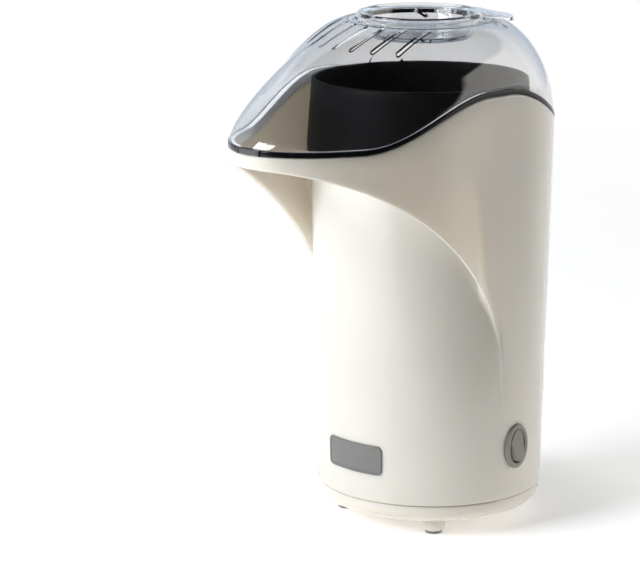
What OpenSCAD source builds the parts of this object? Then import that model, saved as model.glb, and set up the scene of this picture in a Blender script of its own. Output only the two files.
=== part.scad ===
// Hot-air popcorn maker. Front (spout) is -Y, the switch is on the +X side, +Z is up.
// The origin is on the surface it stands on, on the axis of the round body.

/* [Body] */
// Radius of the body at its lower seam
body_r_low = 64.6; // [62:0.2:67]
// Radius of the body where the spout starts
body_r_high = 69.2; // [67:0.2:71]
// Wall of the body, base and cover skirt
wall = 2.6; // [2.2:0.1:3]
// Forward reach of the spout from the body axis
spout_reach = 147.4; // [140:0.5:152]
// Height of the seam between base and body
seam_z = 20; // [18:0.5:22]
// Height of the rim at its two side peaks
rim_peak_z = 252.6; // [250:0.2:254]
// Height of the rim along the spout
rim_spout_z = 228.4; // [226:0.2:230]
// Height of the rim at the back
rim_back_z = 224.6; // [222:0.2:228]
// Height of the spout's lower lip at its tip
lip_z = 220.6; // [218:0.2:222]

/* [Cover] */
// Height of the flat top of the clear cover
dome_top_z = 287.6; // [285:0.2:289]
// Radius of the flat top of the clear cover
dome_top_r = 41; // [40:0.5:43]
// Thickness of the clear cover
dome_wall = 2; // [1.8:0.1:2.4]
// Height of the band where the cover meets the body
band_h = 3.2; // [2.8:0.1:3.6]
// Width of one vent slot
slot_w = 2.6; // [2:0.1:3]

/* [Cup] */
// Outer radius of the measuring cup's rim
cup_rim_r = 35; // [34:0.2:37]
// Depth of the measuring cup
cup_depth = 14.6; // [12:0.2:18]
// Height of the cup's rim, the top of the whole machine
cup_top_z = 292; // [291:0.2:294]
// Direction of the cup's thumb tab, in degrees from +X
cup_tab_angle = 50; // [0:5:90]

/* [Air path] */
// Distance that the chamber axis lies forward of the body axis
chamber_fwd = 10.8; // [10:0.1:11.2]
// Inner radius of the popping chamber
chamber_r = 38; // [36:0.5:39]
// Outer radius of the heater duct around fan and chamber
duct_r = 46; // [45:0.5:47]
// Height of the top of the black collar
collar_top_z = 255.5; // [255:0.5:257]
// Outer radius of the collar at its top
collar_r = 61.2; // [60:0.2:62]
// Number of fan blades
blades = 9; // [7:1:11]
// Turns of the heating coil
coil_turns = 3; // [2:1:3]

/* [Switch] */
// Height of the centre of the switch
switch_z = 50; // [48:0.5:54]
// Height of the oval switch bezel
switch_h = 25.8; // [24:0.2:27]
// Width of the oval switch bezel
switch_w = 18.4; // [17:0.2:19]
// Tilt of the rocker each way from level
rocker_tilt = 8; // [6:1:9]

/* [Hidden] */
$fn = 64;

foot_r = 48;
foot_pad_h = 1.6;
base_low_z = 9.2;
base_round = 8;
spout_top_t = 28;
spout_flat_t = 108;
rim_back_t = 14;
crease_len = 134;
crease_drop = 134;
chute_z = 207.4;
slab_z = 204.4;
scoop_t = 30;
fade_low_z = 85;
fade_h = 55;
seat_gap = 0.3;
boss_r = 56.5;
boss_angle = 22.5;
duct_low_z = 42;
duct_top_z = 195;
can_low_z = 66;
can_r = 17.5;
can_h = 36;
shaft_r = 1.5;
cx = [0, -chamber_fwd, 0];
pivot_x = 61;
well_inset = -2.9;
foot_angles = [45, 135, 225, 315];
screw_angles = [for (i = [0:3]) boss_angle + 90 * i];
base_screw_r = boss_r - 2;
collar_post = [44, 41];
cord_z = 36;
badge_z = 44.5;
badge_size = [40, 17];
duct_screw_angles = [30, 150, 270];
duct_screw_r = 49.6;
duct_flange_r = 53;
board_screw_z = [66, 88];
board_y = duct_r - chamber_fwd + 6;
motor_screw_r = 11;
fan_low_z = 47;
former_z = 104;
former_h = 18;
coil_r = 30;
flange_z = 208;
chamber_low_z = 124;

function smooth(u) = let (v = min(1, max(0, u))) v * v * (3 - 2 * v);
// Radius of the round body at a height
function body_r(z) = body_r_low + (body_r_high - body_r_low) * (z - seam_z) / (235 - seam_z);
// Height of the rim at a distance t forward of the body axis
function rim_z(t) = t > rim_back_t
    ? rim_peak_z - (rim_peak_z - rim_spout_z) * smooth((t - spout_top_t) / (spout_flat_t - spout_top_t))
    : rim_peak_z - (rim_peak_z - rim_back_z) * smooth((rim_back_t - t) / (rim_back_t + body_r_high));
// Height of the arched lower edge of the spout at a distance t forward
function crease_z(t) = lip_z - crease_drop
    + crease_drop * sqrt(max(0, 1 - pow(min(1, max(0, spout_reach - t) / crease_len), 1.4)));
// Plan of the rim, inset by d: a half circle at the back, a half ellipse at the spout
function plan(a, d, r) = [(r - d) * cos(a), (sin(a) > 0 ? r - d : spout_reach - d) * sin(a)];
// Distance from the dome axis to the plan outline, in direction b
function reach(b, d, r) = let (c = cos(b), s = sin(b), o = -chamber_fwd,
        rear = ray_root(c, s, o, r - d, r - d), front = ray_root(c, s, o, r - d, spout_reach - d))
    o + rear * s > 0 ? rear : front;
// Root of the ray (0, o) + k (c, s) with the ellipse of half-axes p and q
function ray_root(c, s, o, p, q) = let (aa = c * c / p / p + s * s / q / q, bb = o * s / q / q,
        cc = o * o / q / q - 1)
    (-bb + sqrt(bb * bb - aa * cc)) / aa;

// Closed surface through rings of equal length: each ring is one closed column section
module ring_skin(rings) {
    m = len(rings);
    n = len(rings[0]);
    polyhedron(points = [for (r = rings) for (p = r) p],
        faces = [for (i = [0:m - 1]) for (j = [0:n - 1]) for (h = [0, 1])
            let (i2 = (i + 1) % m, j2 = (j + 1) % n)
            h == 0 ? [i * n + j, i * n + j2, i2 * n + j2] : [i * n + j, i2 * n + j2, i2 * n + j]],
        convexity = 8);
}

// Closed surface through open sections with flat end caps, whose points pair up from both ends
module strip_skin(rings) {
    m = len(rings);
    n = len(rings[0]);
    last = (m - 1) * n;
    polyhedron(points = [for (r = rings) for (p = r) p],
        faces = concat([for (i = [0:m - 2]) for (j = [0:n - 1]) for (h = [0, 1])
            let (j2 = (j + 1) % n)
            h == 0 ? [i * n + j, i * n + j2, (i + 1) * n + j2]
                : [i * n + j, (i + 1) * n + j2, (i + 1) * n + j]],
            [for (j = [0:n / 2 - 2]) for (h = [0, 1])
                h == 0 ? [n - 1 - j, n - 2 - j, j + 1] : [n - 1 - j, j + 1, j]],
            [for (j = [0:n / 2 - 2]) for (h = [0, 1])
                h == 0 ? [last + j, last + j + 1, last + n - 2 - j]
                    : [last + j, last + n - 2 - j, last + n - 1 - j]]),
        convexity = 8);
}

// Pan-head screw pointing down, head seated at z = 0
module screw(r, length, head) {
    cylinder(r = head, h = head * 0.62);
    translate([0, 0, -length]) cylinder(r = r, h = length + 0.1);
}

module at_angles(list, r) {
    for (a = list) rotate(a) translate([r, 0, 0]) children();
}

// ---- base ----

module base_tray() {
    r0 = body_r_low - 0.6;
    color("ivory") difference() {
        union() {
            rotate_extrude($fn = 120) polygon(concat(
                [[0, base_low_z]],
                [for (a = [-90:15:0]) [r0 - base_round + base_round * cos(a),
                    base_low_z + base_round + base_round * sin(a)]],
                [[r0, seam_z - 0.5], [r0 - wall, seam_z - 0.5], [r0 - wall, seam_z + 4],
                    [r0 - 2 * wall + 0.6, seam_z + 4], [r0 - 2 * wall + 0.6, base_low_z + wall],
                    [0, base_low_z + wall]]));
            at_angles(foot_angles, foot_r) translate([0, 0, foot_pad_h])
                cylinder(r1 = 5.4, r2 = 6.4, h = base_low_z + wall - foot_pad_h);
            at_angles(screw_angles, base_screw_r) translate([0, 0, base_low_z]) cylinder(r = 4, h = 10.2);
        }
        at_angles(foot_angles, foot_r) translate([0, 0, foot_pad_h - 0.1]) cylinder(r = 2, h = 4.1);
        at_angles(screw_angles, body_r_low - 5) translate([0, 0, seam_z - 0.5]) cylinder(r = 5.5, h = 6);
        at_angles(screw_angles, base_screw_r) {
            translate([0, 0, base_low_z - 1]) cylinder(r = 3.1, h = 5);
            translate([0, 0, base_low_z]) cylinder(r = 1.7, h = 12);
        }
        for (i = [0:11]) rotate(30 * i + 15) translate([17, -1.6, base_low_z - 1]) cube([21, 3.2, 5]);
        for (i = [0:5]) rotate(60 * i) translate([5, -1.6, base_low_z - 1]) cube([8, 3.2, 5]);
    }
}

module rubber_feet() {
    color("gray") at_angles(foot_angles, foot_r) union() {
        cylinder(r = 4.9, h = foot_pad_h);
        cylinder(r = 1.95, h = foot_pad_h + 3.6);
    }
}

module base_screws() {
    color("silver") at_angles(screw_angles, base_screw_r) translate([0, 0, base_low_z + 4])
        mirror([0, 0, 1]) screw(1.45, 16, 2.7);
}

// ---- body ----

// Distance from the body axis to the plan of the body, inset by d, in direction b at a height
function plan_r(b, d, z) = sin(b) >= 0 ? body_r(z) - d
    : 1 / norm([cos(b) / (body_r(z) - d), sin(b) / (spout_reach - d)]);
// Distance to the outside, where the spout fades into the round body below its arched edge
function skin_r(b, z) = body_r(z) + (plan_r(b, 0, z) - body_r(z)) * smooth((z - fade_low_z) / fade_h);
// Share of the way from the closed scoop at the side (0) to the open chute (1)
function chute_share(t) = smooth((t - scoop_t) / 12);
function mix(p, q, u) = p + (q - p) * u;

// Section of the body in direction b, as radius and height, up the outside and down the inside
function body_section(b) = let (t = -sin(b) * plan_r(b, 0, lip_z), edge = crease_z(t), rim = rim_z(t),
        r = body_r(edge), gap = skin_r(b, edge) - r, r_in = plan_r(b, wall, edge), u = chute_share(t),
        low = max(slab_z, edge + 1), high = low + chute_z - slab_z)
    concat([[body_r_low, seam_z], [body_r(min(edge, slab_z) - 4), min(edge, slab_z) - 4]],
        [mix([r + gap * 0.4, edge - 1.6], [body_r(slab_z), slab_z], u)],
        [mix([r + gap * 0.8, edge - 0.5], [plan_r(b, wall, low), low], u)],
        [mix([r + gap * 0.94, edge], [r_in, edge], u), [r + gap, edge + 0.6 * (1 - u)]],
        [for (k = [0.08, 0.16, 0.24, 0.34, 0.6, 1]) let (z = edge + (rim - edge) * k) [skin_r(b, z), z]],
        [[plan_r(b, wall, rim), rim], [plan_r(b, wall, high), high]],
        [[body_r(chute_z) - wall, chute_z - 1], [body_r_low - wall, seam_z]]);

// Directions of the sections, closest together where the spout grows out of the round body
section_angles = concat([for (b = [0:6:174]) b], [for (b = [180:2:224]) b], [for (b = [225:2.5:315]) b],
    [for (b = [316:2:358]) b]);

module body_skin() {
    ring_skin([for (b = section_angles) [for (p = body_section(b)) [p[0] * cos(b), p[0] * sin(b), p[1]]]]);
}

// Opening between the round body and the inside of the spout, through which popcorn falls
module chute_cut() {
    edge = 0.4;
    translate([0, 0, slab_z - 5]) linear_extrude(40) difference() {
        polygon([for (a = [181.3:3:360]) plan(a, wall + edge, body_r(slab_z))]);
        rotate(0.8) circle(r = body_r(chute_z) + edge, $fn = 120);
        translate([-80, -scoop_t - 13]) square([160, 80]);
    }
}

module switch_oval(grow, h) {
    linear_extrude(h) polygon([for (i = [0:47])
        [(switch_w / 2 + grow) * cos(7.5 * i), (switch_h / 2 + grow) * sin(7.5 * i)]]);
}

module at_switch() {
    translate([0, 0, switch_z]) rotate([90, 0, 90]) children();
}

// Screw post joined to the wall by a web
module wall_post(angle, post_r, r, z, h) {
    web = 2.4;
    rotate(angle) translate([0, 0, z]) hull() {
        translate([post_r, 0, 0]) cylinder(r = r, h = h, $fn = 32);
        translate([body_r(z) - wall, -web / 2, 4]) cube([wall / 2, web, h - 4]);
    }
}

module at_collar_posts(z) {
    for (m = [0, 1]) mirror([m, 0, 0]) translate([collar_post[0], collar_post[1], z]) children();
}

module body_shell() {
    post_angle = atan2(collar_post[1], collar_post[0]);
    color("ivory") difference() {
        union() {
            body_skin();
            for (a = screw_angles) wall_post(a, base_screw_r, 3.8, seam_z, 22);
            for (a = [post_angle, 180 - post_angle])
                wall_post(a, norm(collar_post), 4, 174, 31.6);
        }
        chute_cut();
        at_angles(screw_angles, base_screw_r) translate([0, 0, seam_z - 1]) cylinder(r = 1.5, h = 17);
        at_collar_posts(190) cylinder(r = 1.4, h = 18);
        at_switch() translate([0, 0, 50]) switch_oval(-1.6, 30);
        translate([0, 40, cord_z]) rotate([-90, 0, 0]) cylinder(r = 6.2, h = 40);
    }
}

module front_badge() {
    r = body_r(badge_z);
    corner_r = 1.2;
    half = [badge_size[0] / 2 - corner_r, badge_size[1] / 2 - corner_r];
    color("dimgray") translate([0, 0, badge_z]) intersection() {
        rotate([0, 0, -90]) difference() {
            cylinder(r = r + 0.9, h = badge_size[1], center = true, $fn = 120);
            cylinder(r = r + 0.3, h = badge_size[1] + 2, center = true, $fn = 120);
        }
        rotate([90, 0, 0]) linear_extrude(100) polygon(
            [for (q = [[1, 1, 0], [-1, 1, 90], [-1, -1, 180], [1, -1, 270]]) for (k = [0:15:90])
                [q[0] * half[0] + corner_r * cos(q[2] + k), q[1] * half[1] + corner_r * sin(q[2] + k)]]);
    }
}

// ---- switch ----

module switch_housing() {
    face_x = body_r(switch_z) + 1.7;
    wall_x = body_r(switch_z) + 0.2;
    depth_x = 49.5;
    color("slategray") difference() {
        at_switch() {
            translate([0, 0, wall_x]) switch_oval(0, face_x - wall_x);
            translate([0, 0, depth_x]) switch_oval(-1.9, face_x - depth_x);
        }
        at_switch() translate([0, 0, depth_x + 1.4]) switch_oval(well_inset, 30);
        translate([pivot_x, 0, switch_z]) rotate([90, 0, 0]) cylinder(r = 1.25, h = 14, center = true);
    }
}

// Rocker section in the plane of its swing, level, pivot at the origin
module rocker_section() {
    rise = 10 * tan(rocker_tilt);
    polygon([[-3, -7], [2, -9.7], [5.2 + rise, -9.7], [5.2, 0], [5.2 + rise, 9.7], [2, 9.7], [-3, 7]]);
}

module switch_rocker() {
    color("darkslategray") translate([pivot_x, 0, switch_z]) rotate([0, -rocker_tilt, 0]) {
        intersection() {
            rotate([90, 0, 0]) intersection() {
                linear_extrude(12, center = true) rocker_section();
                cylinder(r = 9.7, h = 20, center = true);
            }
            rotate([90, 0, 90]) translate([0, 0, -6]) switch_oval(well_inset - 0.8, 20);
        }
        rotate([90, 0, 0]) cylinder(r = 1.2, h = 13.6, center = true);
    }
}

module switch_terminals() {
    color("gold") for (v = [-6, 0, 6]) translate([45.2, -1.6, switch_z + v - 0.4]) cube([4.3, 3.2, 0.8]);
}

module cord_inlet() {
    y0 = body_r(cord_z) - wall - 2.4;
    color("black") translate([0, y0, cord_z]) rotate([-90, 0, 0]) difference() {
        union() {
            cylinder(r = 5.9, h = wall + 4);
            translate([0, 0, wall + 3.2]) cylinder(r = 8, h = 1.8);
            cylinder(r = 7.6, h = 1.6);
        }
        translate([0, 0, -1]) cylinder(r = 3.6, h = 12);
    }
}

// ---- fan, motor and heater ----

module fan_duct() {
    color("dimgray") translate(cx) difference() {
        union() {
            difference() {
                translate([0, 0, duct_low_z]) cylinder(r = duct_r, h = duct_top_z - duct_low_z);
                translate([0, 0, duct_low_z + 2]) cylinder(r = duct_r - 2, h = 200);
                translate([0, 0, duct_low_z - 1]) cylinder(r = 25, h = 5);
            }
            difference() {
                translate([0, 0, duct_top_z - 2]) cylinder(r = duct_flange_r, h = 2);
                translate([0, 0, duct_top_z - 3]) cylinder(r = duct_r - 2, h = 5);
            }
            translate([0, 0, can_low_z - 5]) cylinder(r = 15, h = 2);
            for (a = [90, 210, 330]) rotate(a) translate([10, -4, can_low_z - 5]) cube([duct_r - 11, 8, 2]);
            for (v = board_screw_z) translate([0, duct_r - 1, v]) rotate([-90, 0, 0]) cylinder(r = 3, h = 7);
        }
        translate([0, 0, can_low_z - 6]) cylinder(r = 6, h = 5);
        for (a = [0, 180]) rotate(a) translate([motor_screw_r, 0, can_low_z - 6]) cylinder(r = 1.6, h = 5);
        at_angles(duct_screw_angles, duct_screw_r) translate([0, 0, duct_top_z - 4]) cylinder(r = 1.3, h = 6);
        for (v = board_screw_z) translate([0, duct_r + 1, v]) rotate([-90, 0, 0]) cylinder(r = 1, h = 8);
    }
}

module duct_screws() {
    color("silver") translate(cx) at_angles(duct_screw_angles, duct_screw_r) translate([0, 0, duct_top_z - 2])
        mirror([0, 0, 1]) screw(1.2, 6.2, 2.4);
}

module fan_impeller() {
    color("whitesmoke") translate(cx) translate([0, 0, fan_low_z]) difference() {
        union() {
            translate([0, 0, 10]) cylinder(r = 36, h = 1.4);
            cylinder(r = 5, h = 11);
            for (i = [0:blades - 1]) rotate(360 / blades * i) translate([16, 0, 0]) rotate(-24)
                translate([0, -0.7, 1.5]) cube([19, 1.4, 9]);
        }
        translate([0, 0, -1]) cylinder(r = shaft_r, h = 14);
    }
}

module motor_shaft() {
    color("silver") translate(cx) translate([0, 0, fan_low_z - 1])
        cylinder(r = shaft_r, h = can_low_z + can_h - fan_low_z - 0.4);
}

module motor_armature() {
    color("sienna") translate(cx) translate([0, 0, can_low_z]) difference() {
        union() {
            translate([0, 0, 11]) cylinder(r = 11.8, h = 16);
            translate([0, 0, 5]) cylinder(r = 4, h = 6);
        }
        translate([0, 0, 4]) cylinder(r = shaft_r, h = 30);
        for (a = [0, 120, 240]) rotate(a) translate([9.4, -0.9, 10]) cube([4, 1.8, 18]);
    }
}

module motor_magnets() {
    color("dimgray") translate(cx) translate([0, 0, can_low_z + 9]) difference() {
        cylinder(r = can_r - 1.2, h = 20);
        translate([0, 0, -1]) cylinder(r = 12.6, h = 22);
        for (a = [0, 180]) rotate(a) translate([0, -5, -1]) cube([30, 10, 22]);
    }
}

module motor_can() {
    color("lightgray") translate(cx) translate([0, 0, can_low_z]) difference() {
        cylinder(r = can_r, h = can_h);
        translate([0, 0, -1]) cylinder(r = can_r - 1.2, h = can_h - 0.2);
        translate([0, 0, can_h - 3]) cylinder(r = 3.5, h = 5);
    }
}

module motor_end_cap() {
    color("ivory") translate(cx) translate([0, 0, can_low_z - 3]) difference() {
        union() {
            cylinder(r = can_r, h = 3);
            cylinder(r = can_r - 1.2, h = 5);
        }
        translate([0, 0, -1]) cylinder(r = 3.5, h = 8);
        for (a = [0, 180]) rotate(a) translate([motor_screw_r, 0, -1]) cylinder(r = 1.25, h = 5);
    }
}

module motor_bushes() {
    color("goldenrod") translate(cx) for (z = [can_low_z - 3, can_low_z + can_h - 4.2]) translate([0, 0, z])
        difference() {
            cylinder(r = 3.5, h = 4.2);
            translate([0, 0, -1]) cylinder(r = shaft_r + 0.05, h = 7);
        }
}

module motor_screws() {
    color("silver") translate(cx) for (a = [0, 180]) rotate(a) translate([motor_screw_r, 0, can_low_z - 5])
        mirror([0, 0, 1]) screw(1.2, 5, 2.2);
}

// Point on the centre line of the heating coil
function coil_point(u) = [coil_r * cos(360 * u), coil_r * sin(360 * u), former_z + 3 + 4.4 * u];

module heater_former() {
    color("wheat") translate(cx) difference() {
        union() {
            translate([-42.6, -0.6, former_z]) cube([85.2, 1.2, former_h]);
            translate([-0.6, -42.6, former_z]) cube([1.2, 85.2, former_h]);
        }
        for (q = [0:3]) for (k = [0:coil_turns]) if (k + q / 4 <= coil_turns)
            translate(coil_point(k + q / 4)) rotate(90 * q) rotate([90, 0, 0])
                cylinder(r = 1.9, h = 4, center = true);
    }
}

module heater_coil() {
    steps = 24;
    sides = 6;
    color("darkgray") translate(cx) strip_skin([for (i = [0:steps * coil_turns]) let (u = i / steps,
            c = coil_point(u), a = 360 * u)
        [for (s = [0:sides - 1]) let (b = 360 * s / sides)
            c + 1.6 * [cos(a) * cos(b), sin(a) * cos(b), sin(b)]]]);
}

module thermostat() {
    color("silver") translate(cx) rotate(150) translate([duct_r, 0, 168]) rotate([0, 90, 0]) {
        cylinder(r = 8, h = 4.6);
        translate([0, 0, 4.6]) cylinder(r = 6.5, h = 2);
        for (s = [-1, 1]) translate([-0.4, s * 4 - 1.5, 6.6]) cube([0.8, 3, 5]);
    }
}

module thermal_fuse() {
    color("white") translate(cx) rotate(60) translate([duct_r + 2.2, 0, 140]) {
        translate([0, 0, -7]) cylinder(r = 2.2, h = 14);
        for (s = [-1, 1]) translate([0, 0, s * 9]) cylinder(r = 0.6, h = 5, center = true);
    }
}

module rectifier_board() {
    color("seagreen") difference() {
        translate([-17, board_y, 60]) cube([34, 1.6, 34]);
        for (v = board_screw_z) translate([0, board_y - 1, v]) rotate([-90, 0, 0]) cylinder(r = 1.5, h = 4);
    }
}

module rectifier_diodes() {
    color("black") for (k = [0:3]) translate([-11 + (k > 1 ? 16 : 0), board_y + 4.3, 72 + 9 * (k % 2)])
        rotate([0, 90, 0]) cylinder(r = 2.7, h = 7);
}

module board_screws() {
    color("silver") for (v = board_screw_z) translate([0, board_y + 1.6, v]) rotate([-90, 0, 0])
        screw(0.95, 6, 2.2);
}

// ---- chamber ----

module popping_chamber() {
    z0 = chamber_low_z;
    color("lightgray") translate(cx) difference() {
        rotate_extrude($fn = 96) polygon([[0, z0], [chamber_r - 1, z0], [chamber_r + 1, z0 + 2],
            [chamber_r + 1, duct_top_z + 0.4], [duct_flange_r, duct_top_z + 0.4],
            [duct_flange_r, duct_top_z + 1.4],
            [chamber_r, duct_top_z + 1.4], [chamber_r, z0 + 2.4], [chamber_r - 1.4, z0 + 1], [0, z0 + 1]]);
        for (i = [0:15]) rotate(22.5 * i) translate([chamber_r - 4, 0, z0 + 5]) rotate([28, 0, 0])
            translate([0, -1.2, 0]) cube([8, 2.4, 13]);
        at_angles(duct_screw_angles, duct_screw_r) translate([0, 0, duct_top_z - 1]) cylinder(r = 1.4, h = 5);
    }
}

module chamber_gasket() {
    color("tan") translate(cx) translate([0, 0, duct_top_z + 1.4]) difference() {
        cylinder(r = 46, h = 1.6);
        translate([0, 0, -1]) cylinder(r = 41, h = 4);
    }
}

module chamber_collar() {
    z0 = duct_top_z + 3;
    lip = 2.2;
    color("black") difference() {
        union() {
            translate(cx) rotate_extrude($fn = 120) polygon([[40.4, z0], [duct_flange_r, z0],
                [duct_flange_r, z0 + 2.2], [44.4, z0 + 2.2], [53.2, flange_z], [63.6, flange_z],
                [63.6, 218], [collar_r, collar_top_z], [collar_r - lip, collar_top_z],
                [63.4 - lip, 218], [58.6, 213.6], [41.6, z0 + 1.4]]);
            translate([0, 0, flange_z]) linear_extrude(2.4) difference() {
                circle(r = body_r(flange_z) - wall - 0.3, $fn = 120);
                translate([0, -chamber_fwd]) circle(r = 62, $fn = 120);
            }
            translate(cx) at_angles(duct_screw_angles, duct_screw_r) translate([0, 0, duct_top_z + 1.6])
                cylinder(r = 2.8, h = 8);
        }
        translate(cx) at_angles(duct_screw_angles, duct_screw_r) translate([0, 0, duct_top_z + 1])
            cylinder(r = 1.25, h = 6);
        at_collar_posts(200) cylinder(r = 1.7, h = 20);
    }
}

module collar_screws() {
    color("silver") at_collar_posts(flange_z + 2.4) screw(1.35, 14, 2.9);
}

// ---- cover and cup ----

// Roundness of the dome's fall towards direction b
function dome_power(b) = 1.15 + 0.34 * pow(max(0, -sin(b)), 2) - 0.05 * pow(max(0, sin(b)), 2);

// Point on the dome: direction b, angle up q, inset d
function dome_point(b, q, d) = let (rr = reach(b, 0.6, body_r_high) - d, y = -chamber_fwd + rr * sin(b),
        z0 = rim_z(-y) + seat_gap + band_h, e = dome_power(b), top = dome_top_r - d * 0.4,
        r = top + (rr - top) * pow(cos(q), e), z = z0 + (dome_top_z - d - z0) * pow(sin(q), e))
    [r * cos(b), -chamber_fwd + r * sin(b), z];

function rim_point(b, inset, dz) = let (rr = reach(b, inset, body_r_high), y = -chamber_fwd + rr * sin(b),
        y0 = -chamber_fwd + reach(b, 0, body_r_high) * sin(b))
    [rr * cos(b), y, rim_z(-y0) + seat_gap + dz];

function flat_point(b, r, z) = [r * cos(b), -chamber_fwd + r * sin(b), z];

function cover_section(b) = concat(
    [rim_point(b, 0, 0), rim_point(b, 0, band_h)],
    [for (q = [2, 12, 24, 36, 48, 60, 72, 82]) dome_point(b, q, 0)],
    [flat_point(b, dome_top_r, dome_top_z), flat_point(b, 36.6, dome_top_z)],
    [flat_point(b, 36.6, dome_top_z + 1.8), flat_point(b, 32.4, dome_top_z + 1.8)],
    [flat_point(b, 32.4, dome_top_z - dome_wall)],
    [for (q = [82, 72, 60, 48, 36, 24, 12, 2]) dome_point(b, q, dome_wall)],
    [rim_point(b, wall + 2, 0.4), rim_point(b, wall + 2, -3.6), rim_point(b, wall + 0.5, -3.6),
        rim_point(b, wall + 0.5, 0)]);

// Vent slots over the slope of the spout, and a matching row at the back
module vent_slots() {
    for (i = [-3:3]) let (x = 11 * i, near = 52 - x * x / 85, far = 82 - x * x / 72) {
        translate([x - slot_w / 2, -far, 255]) cube([slot_w, far - near, 40]);
        translate([x - slot_w / 2, 33 - x * x / 85, 262]) cube([slot_w, 12, 40]);
    }
}

module clear_cover() {
    color("lightcyan") union() {
        difference() {
            ring_skin([for (i = [0:71]) cover_section(5 * i + 2.5)]);
            vent_slots();
        }
        translate([-7, -spout_reach - 0.9, rim_spout_z + 0.5]) cube([14, 2.2, 3.4]);
        translate([-4, -spout_reach + wall + 1.5, lip_z - 0.6]) cube([8, 1.8, rim_spout_z - lip_z]);
    }
}

module measuring_cup() {
    z1 = cup_top_z;
    seat = dome_top_z + 1.8 + seat_gap;
    z0 = z1 - cup_depth;
    color("azure") translate(cx) union() {
        rotate_extrude($fn = 120) polygon([[0, z0], [26, z0], [29.4, z0 + 2.6], [31.2, seat],
            [cup_rim_r, seat], [cup_rim_r, z1], [cup_rim_r - 2, z1], [30.2, z1 - 1.6],
            [27.8, z0 + 4.4], [25, z0 + 2], [0, z0 + 2]]);
        rotate(cup_tab_angle) translate([cup_rim_r - 1.2, 0, 0]) rotate([90, 0, 0])
            linear_extrude(26, center = true) polygon([[0, seat], [6, seat], [17.6, seat - 2.6],
                [18.4, seat - 1.2], [7, z1 - 0.2], [0, z1 - 0.2]]);
    }
}

base_tray();
rubber_feet();
base_screws();
body_shell();
front_badge();
switch_housing();
switch_rocker();
switch_terminals();
cord_inlet();
fan_duct();
duct_screws();
fan_impeller();
motor_shaft();
motor_armature();
motor_magnets();
motor_can();
motor_end_cap();
motor_bushes();
motor_screws();
heater_former();
heater_coil();
thermostat();
thermal_fuse();
rectifier_board();
rectifier_diodes();
board_screws();
popping_chamber();
chamber_gasket();
chamber_collar();
collar_screws();
clear_cover();
measuring_cup();
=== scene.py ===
"""Hot-air popcorn maker: looks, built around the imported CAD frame.

Lengths in this file are millimetres in the CAD frame unless a name says otherwise, and MM turns them
into Blender's metres. Front (spout) is -Y, the switch is on the +X side, +Z is up.
"""
import math

import bmesh
import bpy
import numpy as np
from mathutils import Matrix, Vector


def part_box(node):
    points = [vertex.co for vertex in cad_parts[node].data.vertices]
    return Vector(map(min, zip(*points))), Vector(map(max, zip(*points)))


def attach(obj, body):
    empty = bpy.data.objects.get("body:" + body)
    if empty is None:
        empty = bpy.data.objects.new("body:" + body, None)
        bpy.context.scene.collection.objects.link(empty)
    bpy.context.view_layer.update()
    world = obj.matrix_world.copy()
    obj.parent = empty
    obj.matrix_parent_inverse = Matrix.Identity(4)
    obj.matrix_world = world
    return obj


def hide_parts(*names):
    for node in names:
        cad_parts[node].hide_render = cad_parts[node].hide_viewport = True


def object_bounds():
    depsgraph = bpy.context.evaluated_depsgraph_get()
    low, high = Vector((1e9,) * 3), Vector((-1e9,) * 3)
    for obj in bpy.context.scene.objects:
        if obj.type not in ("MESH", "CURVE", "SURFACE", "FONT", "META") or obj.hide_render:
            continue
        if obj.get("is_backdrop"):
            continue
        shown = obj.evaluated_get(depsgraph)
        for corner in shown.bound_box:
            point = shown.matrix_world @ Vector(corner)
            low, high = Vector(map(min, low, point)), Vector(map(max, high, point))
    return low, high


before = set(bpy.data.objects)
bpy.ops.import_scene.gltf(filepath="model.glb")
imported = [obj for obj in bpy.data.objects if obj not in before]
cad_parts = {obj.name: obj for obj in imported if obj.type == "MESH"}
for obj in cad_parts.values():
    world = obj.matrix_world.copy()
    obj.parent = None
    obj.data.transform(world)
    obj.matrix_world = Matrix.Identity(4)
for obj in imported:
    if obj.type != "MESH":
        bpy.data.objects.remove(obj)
cad_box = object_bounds()

MM = 0.001


def node_box(node):
    """Lowest and highest corner of a CAD node in millimetres."""
    low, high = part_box(node)
    return np.array(low) / MM, np.array(high) / MM


body_low, body_high = node_box("body_shell")
collar_low, collar_high = node_box("chamber_collar")
cup_low, cup_high = node_box("measuring_cup")
base_high = node_box("base_tray")[1]
badge_low, badge_high = node_box("front_badge")
housing_low, housing_high = node_box("switch_housing")
inlet_low, inlet_high = node_box("cord_inlet")

# ---- shape rules shared with the CAD part

WALL = 2.6
SEAM_Z = body_low[2]
REACH = -body_low[1]
RIM_PEAK = body_high[2]
TAPER_LOW = 20  # the round body has radius R_LOW at this height
TAPER_HIGH = 235  # and radius R_HIGH at this one
R_LOW = 64.6
R_HIGH = 69.2
RIM_SPOUT = 228.4  # height of the rim at the tip of the spout
RIM_BACK = 224.6  # and at the back
RIM_TOP_T = 14  # the rim is highest from here, measured forward,
RIM_FALL_T = 28  # to here, and falls over RIM_FALL_LEN
RIM_FALL_LEN = 80
LIP_Z = 220.6  # lower edge of the spout's tip
TIP_LEAN = 0.1
CREASE_LEN = 134.0  # length and drop of the arched edge under the spout
SPOUT_FADE_Z = 85  # the spout grows out of the round part over SPOUT_FADE_LEN above this height
SPOUT_FADE_LEN = 55
SLAB_Z = 204.4  # underside of the chute's floor
CHUTE_Z = 207.4  # top of the chute's floor
AXIS_FWD = 10.8  # the dome, collar and cup stand this far in front of the body's axis
SEAT_GAP = 0.3  # between the rim and the cover's foot
BAND_H = 3.2  # from the cover's foot to the spring of the dome
BEAD_TOP = 2.8  # height of the dark bead round the cover's foot, a painted shade line
BEAD_INSET = 0.12
SKIRT_DEPTH = 3.6  # reach of the skirt below the cover's foot
DOME_WALL = 1.3
DOME_INSET = 0.6  # the dome stands this far inside the outline of the body
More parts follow.
